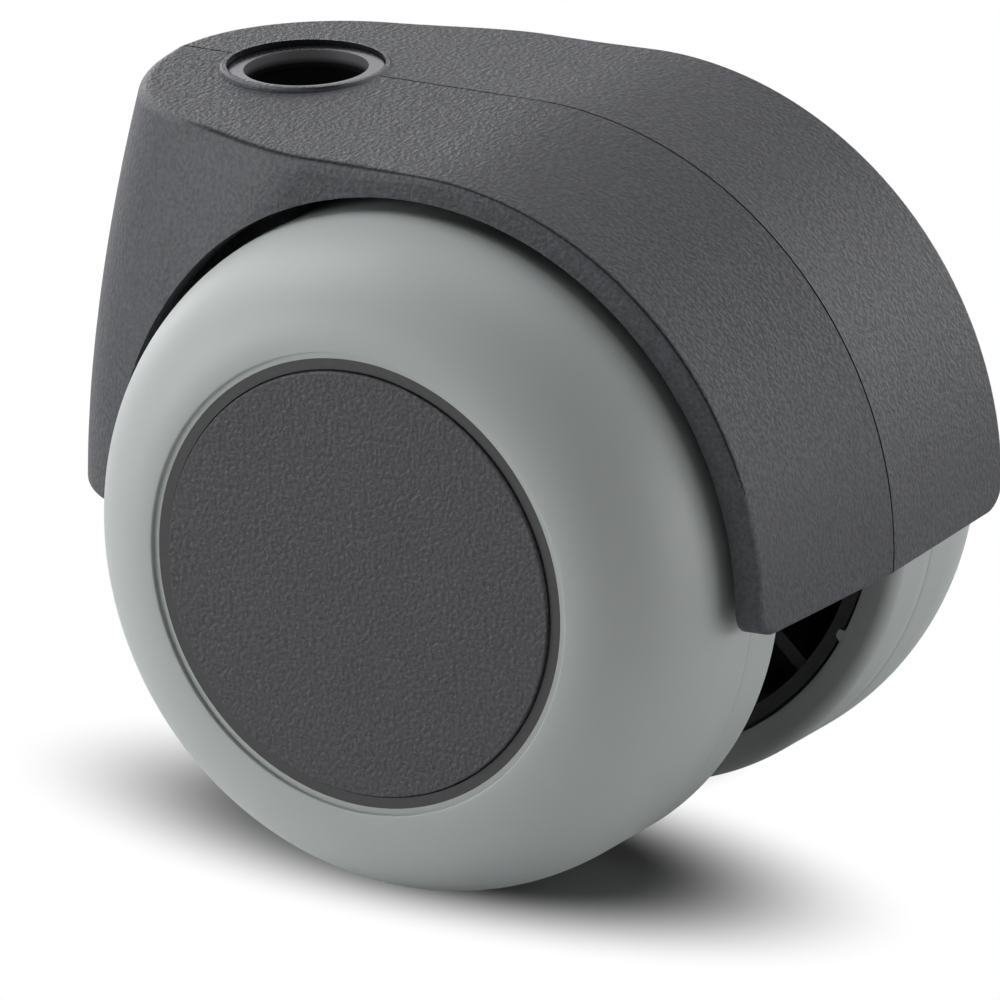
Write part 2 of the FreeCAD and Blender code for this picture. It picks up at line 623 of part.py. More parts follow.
main()
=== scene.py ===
# Looks of a twin-wheel swivel caster: grained plastic hood and caps, soft satin tyres,
# black wheel cores and steel swivel parts, on a white floor.
#
# Laid out as an add-on and run as a script. Metres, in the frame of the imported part:
# origin on the swivel axis, +Z up, +Y to the nose, X along the axle.
import json
import math

import bmesh
import bpy
import numpy as np
from bpy.props import FloatProperty, FloatVectorProperty, IntProperty, PointerProperty
from mathutils import Matrix, Vector


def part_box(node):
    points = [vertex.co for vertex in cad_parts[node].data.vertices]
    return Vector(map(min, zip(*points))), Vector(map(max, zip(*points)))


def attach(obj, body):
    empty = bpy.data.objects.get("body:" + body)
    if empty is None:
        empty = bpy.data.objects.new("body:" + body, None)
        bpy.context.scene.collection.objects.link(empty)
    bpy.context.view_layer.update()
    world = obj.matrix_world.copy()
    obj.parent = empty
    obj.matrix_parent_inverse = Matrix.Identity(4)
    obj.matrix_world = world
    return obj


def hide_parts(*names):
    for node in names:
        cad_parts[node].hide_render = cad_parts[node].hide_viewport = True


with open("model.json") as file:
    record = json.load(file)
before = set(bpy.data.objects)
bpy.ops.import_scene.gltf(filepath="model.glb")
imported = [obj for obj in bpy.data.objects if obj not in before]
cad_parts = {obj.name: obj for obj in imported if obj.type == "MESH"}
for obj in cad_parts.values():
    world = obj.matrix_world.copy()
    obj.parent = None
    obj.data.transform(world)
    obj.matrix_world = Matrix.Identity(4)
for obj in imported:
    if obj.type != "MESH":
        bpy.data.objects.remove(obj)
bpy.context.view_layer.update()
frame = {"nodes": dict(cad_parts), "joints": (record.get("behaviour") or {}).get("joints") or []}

bl_info = {
    "name": "Twin-wheel caster looks",
    "version": (1, 0, 0),
    "blender": (4, 5, 0),
    "location": "View3D > Sidebar > Caster",
    "description": "Dresses the packed caster in its plastics, rubber and steel, and lights it",
    "category": "Object",
}

MM = 0.001
SIDES = {"left": -1, "right": 1}


def joint_point(name):
    """Where a joint sits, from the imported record."""
    return Vector(next(j["pos_m"] for j in frame["joints"] if j["name"] == name))


# Places taken from the frame
AXLE = joint_point("right_wheel_spin")
TYRE_LOW, TYRE_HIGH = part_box("right_tyre")
CAP_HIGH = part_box("right_wheel_cap")[1]
X_INNER = TYRE_LOW.x
X_FACE = TYRE_HIGH.x
WHEEL_R = min(TYRE_HIGH.z - AXLE.z, AXLE.z - TYRE_LOW.z)
CAP_R = CAP_HIGH.z - AXLE.z
FLOOR_Z = AXLE.z - WHEEL_R

# Section of a tyre
CHANNEL = 0.3 * MM           # depth of the channel round the cap
RING_R = CAP_R + 0.9 * MM    # rim round the cap
STEP_R = RING_R + 0.45 * MM  # tyre's edge over the channel
RIM_R = WHEEL_R - 2.49 * MM  # tyre on its rim
LUG_COUNT = 6
LUG_PHASE = math.radians(210.3)
LUG_HALF_ANGLE = 0.5 * 0.85 * MM / RIM_R
LUG_HEIGHT = 0.5 * MM
LUG_END = X_INNER + 2.0 * MM

# Marks on the hood
SEAM_HALF = 0.085 * MM       # half width of the painted shade in the mould line
TOP_MIDDLE_Y = -17 * MM      # where the painted shade in the mould line is faint
RECESS_R = 5.0 * MM          # painted shade in the recess round the mouth starts here
LIP_R = 5.72 * MM            # painted shade ends here, and painted light on its lip starts here
LIP_OUT_R = 6.2 * MM         # to here

# Stage
# Painted shadow on the floor: middles of its two ovals beside the axle, and its darker tone
SHADE_LEFT = Vector((-7.5 * MM, AXLE.y + 3.8 * MM, FLOOR_Z))
SHADE_RIGHT = Vector((13 * MM, AXLE.y + 7 * MM, FLOOR_Z))
PAINTED_SHADOW_TONE = (0.235, 0.235, 0.235)
SKY_REACH = 50 * MM          # how far the floor looks for what stands over it
FLOOR_REACH = 3.0
LAMP_SIZE = 0.35
LAMP_DISTANCE = 0.6
LAMP_WAYS = {                # along the view's right, up and back
    "left_high": (-0.7, 0.8, 0.0),
    "left_low": (-1.0, -0.05, 0.2),
    "right_low": (1.0, -0.15, 0.3),
    "right_back": (0.8, 0.4, -0.6),
    "left_back": (-0.5, 0.6, -1.0),
    "top": (0.0, 1.0, 0.2),
}
LENS_SHIFT = (-0.04234, -0.0158)


# Surfaces


def line(start, end, count=2):
    """Straight run of profile points, the start left out."""
    return np.linspace(start, end, count + 1)[1:]


def oval(centre, half_x, half_r, start, end, count):
    """Points of an ellipse in the profile plane, between two angles in degrees from +x."""
    t = np.radians(np.linspace(start, end, count))
    return np.stack([centre[0] + half_x * np.cos(t), centre[1] + half_r * np.sin(t)], axis=-1)


def lug_angles(segments):
    """Angles round a wheel: even steps, with close ones over each lug."""
    lugs = LUG_PHASE + np.arange(LUG_COUNT) * 2 * np.pi / LUG_COUNT
    close = lugs[:, None] + 1.3 * LUG_HALF_ANGLE * np.linspace(-1, 1, 15)
    even = np.arange(segments) * 2 * np.pi / segments
    return np.unique(np.round(np.concatenate([even, close.ravel()]) % (2 * np.pi), 6))


def lug_rise(angle):
    """1 on a lug and 0 beside it, with rounded flanks: a steep even power of the angle's
    share of the lug's half width."""
    step = 2 * np.pi / LUG_COUNT
    off = (angle - LUG_PHASE + step / 2) % step - step / 2
    return np.exp(-(off / LUG_HALF_ANGLE) ** 6 * np.log(2))


def turned(profile, side, angle):
    """Surface of revolution about the axle, with lugs on its bore.

    The profile gives distance from the mid plane and radius; the second parameter is
    the angle round the axle. Near a lug the bore's radius falls by the lug's height.
    """
    bore = (profile[:, 1] < RIM_R + 0.01 * MM) & (profile[:, 0] < LUG_END + 0.001 * MM)
    radius = profile[:, 1] - LUG_HEIGHT * np.outer(lug_rise(angle), bore)
    x = np.broadcast_to(side * profile[:, 0], radius.shape)
    y = AXLE.y + np.cos(angle)[:, None] * radius
    z = AXLE.z + np.sin(angle)[:, None] * radius
    return np.stack([x, y, z], axis=-1)


def surface_object(name, grid):
    """Object of quads over a grid of points that closes on itself both ways."""
    rows, columns = grid.shape[:2]
    row = np.arange(rows)
    column = np.arange(columns)
    next_row = (row + 1) % rows * columns
    next_column = (column + 1) % columns
    faces = np.stack([np.add.outer(row * columns, column),
                      np.add.outer(row * columns, next_column),
                      np.add.outer(next_row, next_column),
                      np.add.outer(next_row, column)], axis=-1).reshape(-1, 4)
    mesh = bpy.data.meshes.new(name)
    mesh.from_pydata(grid.reshape(-1, 3), [], faces)
    work = bmesh.new()
    work.from_mesh(mesh)
    bmesh.ops.remove_doubles(work, verts=work.verts, dist=0.001 * MM)
    bmesh.ops.recalc_face_normals(work, faces=work.faces)
    work.to_mesh(mesh)
    work.free()
    mesh.shade_smooth()
    mesh.set_sharp_from_angle(angle=math.radians(40))
    piece = bpy.data.objects.new(name, mesh)
    bpy.context.scene.collection.objects.link(piece)
    return piece


# Materials


def add_node(tree, kind, inputs=None, **settings):
    """New shader node. An input that is given a socket is linked to it."""
    made = tree.nodes.new("ShaderNode" + kind)
    for key, value in settings.items():
        setattr(made, key, value)
    for key, value in (inputs or {}).items():
        if isinstance(value, bpy.types.NodeSocket):
            tree.links.new(value, made.inputs[key])
        else:
            made.inputs[key].default_value = value
    return made


def maths(tree, operation, *values):
    """Output of a maths node."""
    return add_node(tree, "Math", dict(enumerate(values)), operation=operation).outputs[0]


def vector_maths(tree, operation, output, *values):
    """Named output of a vector maths node."""
    return add_node(tree, "VectorMath", dict(enumerate(values)), operation=operation).outputs[output]


def new_group(name, inputs, outputs):
    """Empty shader node group; returns its tree and both ends. A default of three numbers
    makes a vector socket."""
    group = bpy.data.node_groups.new(name, "ShaderNodeTree")
    for label, default in inputs.items():
        kind = "NodeSocketVector" if isinstance(default, tuple) else "NodeSocketFloat"
        socket = group.interface.new_socket(label, in_out="INPUT", socket_type=kind)
        socket.default_value = default
    for label in outputs:
        group.interface.new_socket(label, in_out="OUTPUT", socket_type="NodeSocketFloat")
    return group, group.nodes.new("NodeGroupInput"), group.nodes.new("NodeGroupOutput")


def grain_group(name):
    """Spark-eroded grain: rounded pits of one size, deeper on faces that look up, specks
    of shade that follow them, and a broad cloud over a few millimetres."""
    group, start, end = new_group(name, {"Size": 0.3 * MM, "Side": 0.4},
                                  ("Height", "Speck", "Cloud"))
    source = add_node(group, "TexCoord").outputs
    place = source["Object"]
    scale = maths(group, "DIVIDE", 1.0, start.outputs["Size"])
    pits = add_node(group, "TexNoise", {"Vector": place, "Scale": scale, "Detail": 1.5,
                                        "Roughness": 0.55})
    pits = add_node(group, "MapRange", {"Value": pits.outputs["Fac"], "From Min": 0.28,
                                        "From Max": 0.72})
    upward = add_node(group, "SeparateXYZ", {"Vector": source["Normal"]}).outputs["Z"]
    gain = add_node(group, "MapRange", {"Value": upward, "From Min": 0.8, "From Max": 1.0,
                                        "To Min": start.outputs["Side"], "To Max": 1.0}).outputs[0]
    height = maths(group, "MULTIPLY", pits.outputs[0], gain)
    cloud = add_node(group, "TexNoise", {"Vector": place, "Scale": 250.0, "Detail": 3.0})
    group.links.new(height, end.inputs["Height"])
    group.links.new(pits.outputs[0], end.inputs["Speck"])
    group.links.new(cloud.outputs["Fac"], end.inputs["Cloud"])
    return group


def rings_group(name):
    """Fine tool rings round an axis: noise over the distance along it and from it."""
    group, start, end = new_group(name, {"Axis": (0.0, 0.0, 1.0), "Centre": (0.0, 0.0, 0.0),
                                         "Pitch": 0.08 * MM}, ("Ring",))
    place = add_node(group, "TexCoord").outputs["Object"]
    off = vector_maths(group, "SUBTRACT", "Vector", place, start.outputs["Centre"])
    along = vector_maths(group, "DOT_PRODUCT", "Value", off, start.outputs["Axis"])
    out = vector_maths(group, "CROSS_PRODUCT", "Vector", off, start.outputs["Axis"])
    out = vector_maths(group, "LENGTH", "Value", out)
    flat = add_node(group, "CombineXYZ", {"X": along, "Y": out})
    scale = maths(group, "DIVIDE", 1.0, start.outputs["Pitch"])
    noise = add_node(group, "TexNoise", {"Vector": flat.outputs[0], "Scale": scale, "Detail": 3.0})
    group.links.new(noise.outputs["Fac"], end.inputs["Ring"])
    return group


SHARED = {"moulded_grain": grain_group, "tool_rings": rings_group}


def place_group(tree, name, values):
    """Puts a shared group into a material with its own values, and makes it if it isn't there."""
    made = tree.nodes.new("ShaderNodeGroup")
    made.node_tree = bpy.data.node_groups.get(name) or SHARED[name](name)
    for key, value in values.items():
        made.inputs[key].default_value = value
    return made


def new_material(name):
    """Empty material with one shader; returns the material, its tree and the shader."""
    material = bpy.data.materials.new(name)
    material.use_nodes = True
    tree = material.node_tree
    tree.nodes.clear()
    shader = add_node(tree, "BsdfPrincipled")
    add_node(tree, "OutputMaterial", {"Surface": shader.outputs[0]})
    return material, tree, shader


def shade_between(tree, factor, dark, light):
    """Colour between two shades."""
    ramp = add_node(tree, "Mix", data_type="RGBA")
    tree.links.new(factor, ramp.inputs["Factor"])
    ramp.inputs[6].default_value = (*dark, 1)
    ramp.inputs[7].default_value = (*light, 1)
    return ramp.outputs[2]


def scaled(colour, factor):
    """Colour times a factor."""
    return tuple(c * factor for c in colour)


def grained_plastic(name, colour, size, depth, roughness, contrast=0.42, side=0.4):
    """Moulded plastic with an eroded grain, which scatters its gloss; the pits are darker
    and rougher than the crests. Returns the material, its tree, shader and tint."""
    material, tree, shader = new_material(name)
    grain = place_group(tree, "moulded_grain", {"Size": size, "Side": side}).outputs
    tone = maths(tree, "MULTIPLY", grain["Speck"], 0.75)
    tone = maths(tree, "MULTIPLY_ADD", grain["Cloud"], 0.25, tone)
    tint = shade_between(tree, tone, scaled(colour, 1 - contrast), scaled(colour, 1 + contrast))
    tree.links.new(tint, shader.inputs["Base Color"])
    rough = add_node(tree, "MapRange", {"Value": grain["Height"], "To Min": roughness + 0.08,
                                        "To Max": roughness - 0.08})
    tree.links.new(rough.outputs[0], shader.inputs["Roughness"])
    bump = add_node(tree, "Bump", {"Strength": 1.0, "Distance": depth, "Height": grain["Height"]})
    tree.links.new(bump.outputs[0], shader.inputs["Normal"])
    return material, tree, shader, tint


def between(tree, value, low, high):
    """1 where a value lies between two limits, 0 outside."""
    over = maths(tree, "GREATER_THAN", value, low)
    return maths(tree, "MULTIPLY", over, maths(tree, "LESS_THAN", value, high))


def hood_plastic(hood):
    """Grained plastic with painted shade in the mould line, which is faint over the middle of the
    top, along the crease of a cheek and in the recess round the mouth of the bore; painted light on the
    lip round the mouth."""
    material, tree, shader, tint = grained_plastic("hood_plastic", hood.colour, hood.grain,
                                                   hood.depth, 0.5)
    source = add_node(tree, "TexCoord").outputs
    place = add_node(tree, "SeparateXYZ", {"Vector": source["Object"]}).outputs
    # Painted shade in the groove of the mould line, fainter over the middle of the top
    seam_shade = between(tree, place["X"], -SEAM_HALF, SEAM_HALF)
    off_middle = maths(tree, "ABSOLUTE", maths(tree, "SUBTRACT", place["Y"], TOP_MIDDLE_Y))
    middle = add_node(tree, "MapRange", {"Value": off_middle, "From Min": 2.5 * MM, "From Max": 5 * MM,
                                         "To Min": 0.2, "To Max": 0.75})
    shade = maths(tree, "MULTIPLY", seam_shade, middle.outputs[0])
    tint = add_node(tree, "Mix", {0: shade, 6: tint, 7: (0, 0, 0, 1)}, data_type="RGBA").outputs[2]
    out = maths(tree, "SQRT", maths(tree, "ADD", maths(tree, "MULTIPLY", place["X"], place["X"]),
                                    maths(tree, "MULTIPLY", place["Y"], place["Y"])))
    # Painted light on the lip round the mouth, lightening its shaded outer wall
    lip = maths(tree, "MULTIPLY", between(tree, out, LIP_R, LIP_OUT_R),
                maths(tree, "GREATER_THAN", place["Z"], 0.0))
    painted_lip_light = scaled(hood.colour, 2.0)
    tint = add_node(tree, "Mix", {0: lip, 6: tint, 7: (*painted_lip_light, 1)}, data_type="RGBA").outputs[2]
    # Painted shade on the recess's wall round the mouth
    recess_shade = maths(tree, "MULTIPLY", between(tree, out, RECESS_R, LIP_R), 0.85)
    # Painted shade along the crease between the top and a cheek, faded out towards the nose
    normal = add_node(tree, "SeparateXYZ", {"Vector": source["Normal"]}).outputs
    aside = maths(tree, "ABSOLUTE", maths(tree, "SUBTRACT", maths(tree, "ABSOLUTE", normal["X"]), 0.5))
    aside = add_node(tree, "MapRange", {"Value": aside, "From Max": 0.3, "To Min": 0.8, "To Max": 0.0},
                     interpolation_type="SMOOTHSTEP").outputs[0]
    crease = maths(tree, "MULTIPLY", aside, maths(tree, "GREATER_THAN", normal["Z"], 0.25))
    rearward = add_node(tree, "MapRange", {"Value": place["Y"], "From Min": 3 * MM, "From Max": -1 * MM})
    crease = maths(tree, "MULTIPLY", crease, rearward.outputs[0])
    shade = maths(tree, "MAXIMUM", recess_shade, crease)
    tint = add_node(tree, "Mix", {0: shade, 6: tint, 7: (0, 0, 0, 1)}, data_type="RGBA").outputs[2]
    tree.links.new(tint, shader.inputs["Base Color"])
    gloss = maths(tree, "MULTIPLY_ADD", shade, -0.5, 0.5)
    tree.links.new(gloss, shader.inputs["Specular IOR Level"])
    return material


def satin_rubber(name, colour):
    """Cast soft tread: even colour with faint clouds and a very fine skin."""
    material, tree, shader = new_material(name)
    place = add_node(tree, "TexCoord").outputs["Object"]
    clouds = add_node(tree, "TexNoise", {"Vector": place, "Scale": 180.0, "Detail": 4.0})
    colours = shade_between(tree, clouds.outputs["Fac"], scaled(colour, 0.97), scaled(colour, 1.03))
    tree.links.new(colours, shader.inputs["Base Color"])
    skin = add_node(tree, "TexNoise", {"Vector": place, "Scale": 6000.0, "Detail": 3.0})
    rough = add_node(tree, "MapRange", {"Value": skin.outputs["Fac"], "To Min": 0.42, "To Max": 0.54})
    tree.links.new(rough.outputs[0], shader.inputs["Roughness"])
    bump = add_node(tree, "Bump", {"Strength": 0.4, "Distance": 0.003 * MM,
                                   "Height": skin.outputs["Fac"]})
    tree.links.new(bump.outputs[0], shader.inputs["Normal"])
    return material


def turned_steel(name, colour, roughness, axis, centre):
    """Bare steel with fine tool rings round its axis."""
    material, tree, shader = new_material(name)
    ring = place_group(tree, "tool_rings", {"Axis": axis, "Centre": centre}).outputs["Ring"]
    colours = shade_between(tree, ring, scaled(colour, 0.85), scaled(colour, 1.12))
    tree.links.new(colours, shader.inputs["Base Color"])
    rough = add_node(tree, "MapRange", {"Value": ring, "To Min": roughness - 0.08,
                                        "To Max": roughness + 0.08})
    tree.links.new(rough.outputs[0], shader.inputs["Roughness"])
    shader.inputs["Metallic"].default_value = 1.0
    return material


def bush_steel(colour):
    """Turned steel of the swivel bush: polished flange, and a rougher bore with painted shade,
    darker than the flange and darker still below its mouth."""
    material, tree, shader = new_material("bush_steel")
    ring = place_group(tree, "tool_rings", {}).outputs["Ring"]
    source = add_node(tree, "TexCoord").outputs
    upward = add_node(tree, "SeparateXYZ", {"Vector": source["Normal"]}).outputs["Z"]
    flat = add_node(tree, "MapRange", {"Value": upward, "From Min": 0.85, "From Max": 0.95}).outputs[0]
    # Painted shade: the bore's wall is darker than the flange, and darker still below the mouth
    depth = add_node(tree, "SeparateXYZ", {"Vector": source["Object"]}).outputs["Z"]
    down = add_node(tree, "MapRange", {"Value": depth, "From Min": -0.55 * MM,
                                       "From Max": -1.0 * MM}).outputs[0]
    shaded_bore_wall = shade_between(tree, down, scaled(colour, 0.5), scaled(colour, 0.05))
    face = shade_between(tree, ring, scaled(colour, 0.85), scaled(colour, 1.12))
    tint = add_node(tree, "Mix", {0: flat, 6: shaded_bore_wall, 7: face}, data_type="RGBA").outputs[2]
    tree.links.new(tint, shader.inputs["Base Color"])
    rough = add_node(tree, "MapRange", {"Value": flat, "To Min": 0.62, "To Max": 0.16}).outputs[0]
    tree.links.new(maths(tree, "MULTIPLY_ADD", ring, 0.08, rough), shader.inputs["Roughness"])
    shader.inputs["Metallic"].default_value = 1.0
    return material


def dress(piece, material):
    """Gives every surface of a piece one material."""
    if not piece.material_slots:
        piece.data.materials.append(material)
    for slot in piece.material_slots:
        slot.material = material


# Settings


class CasterHoodSettings(bpy.types.PropertyGroup):
    """Look of the hood"""
    colour: FloatVectorProperty(name="Hood colour", description="Dark grey of the moulded hood",
                                subtype="COLOR", size=3, default=(0.061, 0.063, 0.0725))
    grain: FloatProperty(name="Grain size", description="Width of one pit of the eroded grain",
                         unit="LENGTH", default=0.34 * MM)
    depth: FloatProperty(name="Grain depth", description="Depth of the eroded grain",
                         unit="LENGTH", default=0.09 * MM)


class CasterWheelSettings(bpy.types.PropertyGroup):
    """Look of the wheels"""
    tyre_colour: FloatVectorProperty(name="Tyre colour", description="Grey of the soft tread",
                                     subtype="COLOR", size=3, default=(0.495, 0.525, 0.52))
    cap_colour: FloatVectorProperty(name="Cap colour", description="Dark grey of the wheel caps",
                                    subtype="COLOR", size=3, default=(0.0585, 0.0575, 0.066))
    core_colour: FloatVectorProperty(name="Core colour", description="Dark grey of the wheel cores",
                                     subtype="COLOR", size=3, default=(0.056, 0.056, 0.059))
    segments: IntProperty(name="Segments", description="Divisions round a wheel", default=240)


class CasterSteelSettings(bpy.types.PropertyGroup):
    """Look of the steel and the bearings"""
    colour: FloatVectorProperty(name="Steel colour", description="Colour of the bare steel",
                                subtype="COLOR", size=3, default=(0.56, 0.56, 0.57))
    bush_colour: FloatVectorProperty(name="Bush colour", description="Steel of the swivel bush",
                                     subtype="COLOR", size=3, default=(0.38, 0.38, 0.40))
    bearing_colour: FloatVectorProperty(name="Bearing colour", description="Natural bearing plastic",
                                        subtype="COLOR", size=3, default=(0.72, 0.69, 0.62))


class CasterStageSettings(bpy.types.PropertyGroup):
    """View, lamps and the floor's shadow"""
    azimuth: FloatProperty(name="View azimuth", description="From -X towards -Y, seen from above",
                           subtype="ANGLE", default=math.radians(31.63))
    elevation: FloatProperty(name="View elevation", description="Height of the view above level",
                             subtype="ANGLE", default=math.radians(17.66))
    roll: FloatProperty(name="View roll", description="Turn of the camera about its view",
                        subtype="ANGLE", default=math.radians(-2.3))
    distance: FloatProperty(name="View distance", description="Camera to the middle of the axle",
                            unit="LENGTH", default=1.5)
    lens: FloatProperty(name="Lens", description="Focal length in millimetres on a 36 mm sensor",
                        default=756.25)
    mirrored: FloatProperty(name="Mirrored white",
                            description="Brightness of the surroundings in reflections",
                            default=0.585)
    left_high: FloatProperty(name="Left high softbox", description="Power of the lamp high at the left",
                             unit="POWER", default=1.4)
    left_low: FloatProperty(name="Left low softbox", description="Power of the lamp low at the left",
                            unit="POWER", default=2.1)
    right_low: FloatProperty(name="Right softbox", description="Power of the lamp low at the right",
                             unit="POWER", default=2.3)
    right_back: FloatProperty(name="Right back softbox",
                              description="Power of the lamp behind at the right",
                              unit="POWER", default=0.95)
    left_back: FloatProperty(name="Left back softbox", description="Power of the lamp behind at the left",
                             unit="POWER", default=0.9)
    top: FloatProperty(name="Top softbox", description="Power of the lamp overhead",
                       unit="POWER", default=0.85)
    shadow_across: FloatProperty(name="Shadow half width",
                                 description="Reach of the floor's shadow across the wheel",
                                 unit="LENGTH", default=17.7 * MM)
    shadow_along: FloatProperty(name="Shadow half length",
                                description="Reach of the floor's shadow along the wheel",
                                unit="LENGTH", default=42.4 * MM)
    shadow_turn: FloatProperty(name="Shadow turn", description="Turn of the floor's shadow about Z",
                               subtype="ANGLE", default=math.radians(12.1))


def settings():
    """The four groups of settings of the scene."""
    scene = bpy.context.scene
    return scene.caster_hood, scene.caster_wheels, scene.caster_steel, scene.caster_stage


# Operators


class CASTER_OT_hood(bpy.types.Operator):
    """Dresses the moulded hood"""
    bl_idname = "caster.hood"
    bl_label = "Hood"

    def execute(self, context):
        hood = context.scene.caster_hood
        dress(frame["nodes"]["housing"], hood_plastic(hood))
        return {"FINISHED"}


def tyre_profile():
    """Closed section of a tyre: inner face, tread with its mould line, an elliptical
    shoulder, and a step down to the channel round the cap."""
    edge = 1.0 * MM
    fine = 0.12 * MM
    shoulder_x = X_INNER + 7.3 * MM
    line_x, line_half, line_depth = X_INNER + 4.6 * MM, 0.16 * MM, 0.05 * MM
    seat_x = X_FACE - 2.7 * MM
    bevel = 2.2 * MM
    floor_x = X_FACE - CHANNEL
    groove = np.linspace(-1, 1, 9)
    groove = np.stack([line_x + line_half * groove,
                       WHEEL_R - line_depth * (1 + np.cos(np.pi * groove)) / 2], axis=-1)
    return np.concatenate([
        line((X_INNER, RIM_R + fine), (X_INNER, WHEEL_R - edge), 4),
        oval((X_INNER + edge, WHEEL_R - edge), edge, edge, 180, 90, 14)[1:],
        line((X_INNER + edge, WHEEL_R), groove[0], 4)[:-1],
        groove,
        line(groove[-1], (shoulder_x, WHEEL_R), 4),
        oval((shoulder_x, STEP_R + fine), X_FACE - shoulder_x, WHEEL_R - STEP_R - fine,
             90, 0, 48)[1:],
        oval((X_FACE - fine, STEP_R + fine), fine, fine, 0, -90, 7)[1:],
        line((X_FACE - fine, STEP_R), (floor_x, STEP_R)),
        line((floor_x, STEP_R), (floor_x, RING_R)),
        line((floor_x, RING_R), (seat_x, RING_R), 3),
        line((seat_x, RING_R), (seat_x, RIM_R - bevel), 3),
        line((seat_x, RIM_R - bevel), (seat_x - bevel, RIM_R), 2),
        line((seat_x - bevel, RIM_R), (LUG_END + 0.02 * MM, RIM_R), 4),
        line((LUG_END + 0.02 * MM, RIM_R), (LUG_END, RIM_R), 1),
        line((LUG_END, RIM_R), (X_INNER + fine, RIM_R), 3),
        oval((X_INNER + fine, RIM_R + fine), fine, fine, 270, 180, 6)[1:-1],
    ])


class CASTER_OT_tyres(bpy.types.Operator):
    """Makes and dresses both tyres"""
    bl_idname = "caster.tyres"
    bl_label = "Tyres"

    def execute(self, context):
        wheels = context.scene.caster_wheels
        rubber = satin_rubber("tyre_rubber", wheels.tyre_colour)
        profile = tyre_profile()
        angle = lug_angles(wheels.segments)
        for side, sign in SIDES.items():
            tyre = surface_object(side + "_tread", turned(profile, sign, angle))
            dress(tyre, rubber)
            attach(tyre, side + "_wheel")
            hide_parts(side + "_tyre")
        return {"FINISHED"}


class CASTER_OT_wheels(bpy.types.Operator):
    """Dresses the wheel cores and caps"""
    bl_idname = "caster.wheels"
    bl_label = "Wheel cores and caps"

    def execute(self, context):
        hood = context.scene.caster_hood
        wheels = context.scene.caster_wheels
        cap = grained_plastic("cap_plastic", wheels.cap_colour, hood.grain,
                              0.7 * hood.depth, 0.5, side=0.7)[0]
        core = grained_plastic("core_plastic", wheels.core_colour, hood.grain,
                               0.1 * hood.depth, 0.42, contrast=0.1)[0]
        for side in SIDES:
            dress(frame["nodes"][side + "_wheel_cap"], cap)
            dress(frame["nodes"][side + "_wheel_core"], core)
        return {"FINISHED"}


class CASTER_OT_steel(bpy.types.Operator):
    """Dresses the swivel bush, axle and bearings"""
    bl_idname = "caster.steel"
    bl_label = "Steel and bearings"

    def execute(self, context):
        steel = context.scene.caster_steel
        bush = bush_steel(steel.bush_colour)
        bright = turned_steel("bright_steel", steel.colour, 0.3, (1.0, 0.0, 0.0), tuple(AXLE))
        bearing = grained_plastic("bearing_plastic", steel.bearing_colour,
                                  0.3 * MM, 0.005 * MM, 0.4, contrast=0.05)[0]
        for name in ("swivel_bush", "bush_collar"):
            dress(frame["nodes"][name], bush)
        dress(frame["nodes"]["axle_pin"], bright)
        for side in SIDES:
            dress(frame["nodes"][side + "_axle_washer"], bright)
            dress(frame["nodes"][side + "_axle_clip"], bright)
            dress(frame["nodes"][side + "_hub_bush"], bearing)
        return {"FINISHED"}


def view_axes(stage):
    """Right, up and back directions of the camera."""
    level = math.cos(stage.elevation)
    back = Vector((-level * math.cos(stage.azimuth), -level * math.sin(stage.azimuth),
                   math.sin(stage.elevation)))
    right = Vector((0, 0, 1)).cross(back).normalized()
    up = back.cross(right)
    c, s = math.cos(stage.roll), math.sin(stage.roll)
    return c * right + s * up, c * up - s * right, back


def softbox(name, way, power):
    """Square soft lamp that faces the axle."""
    lamp = bpy.data.lights.new(name, "AREA")
    lamp.size = LAMP_SIZE
    lamp.energy = power
    made = bpy.data.objects.new(name, lamp)
    made.location = AXLE + LAMP_DISTANCE * way.normalized()
    made.rotation_euler = way.to_track_quat("Z", "Y").to_euler()
    bpy.context.scene.collection.objects.link(made)


def outside_oval(tree, place, centre, turn, across, along):
    """0 well inside an ellipse on the floor, rising to 1 at its edge."""
    off = vector_maths(tree, "SUBTRACT", "Vector", place, centre)
    c, s = math.cos(turn), math.sin(turn)
    x = vector_maths(tree, "DOT_PRODUCT", "Value", off, Vector((c, -s, 0)) / across)
    y = vector_maths(tree, "DOT_PRODUCT", "Value", off, Vector((s, c, 0)) / along)
    flat = add_node(tree, "CombineXYZ", {"X": x, "Y": y}).outputs[0]
    share = vector_maths(tree, "LENGTH", "Value", flat)
    return add_node(tree, "MapRange", {"Value": share, "From Min": 0.4, "From Max": 1.0},
                    interpolation_type="SMOOTHSTEP").outputs[0]


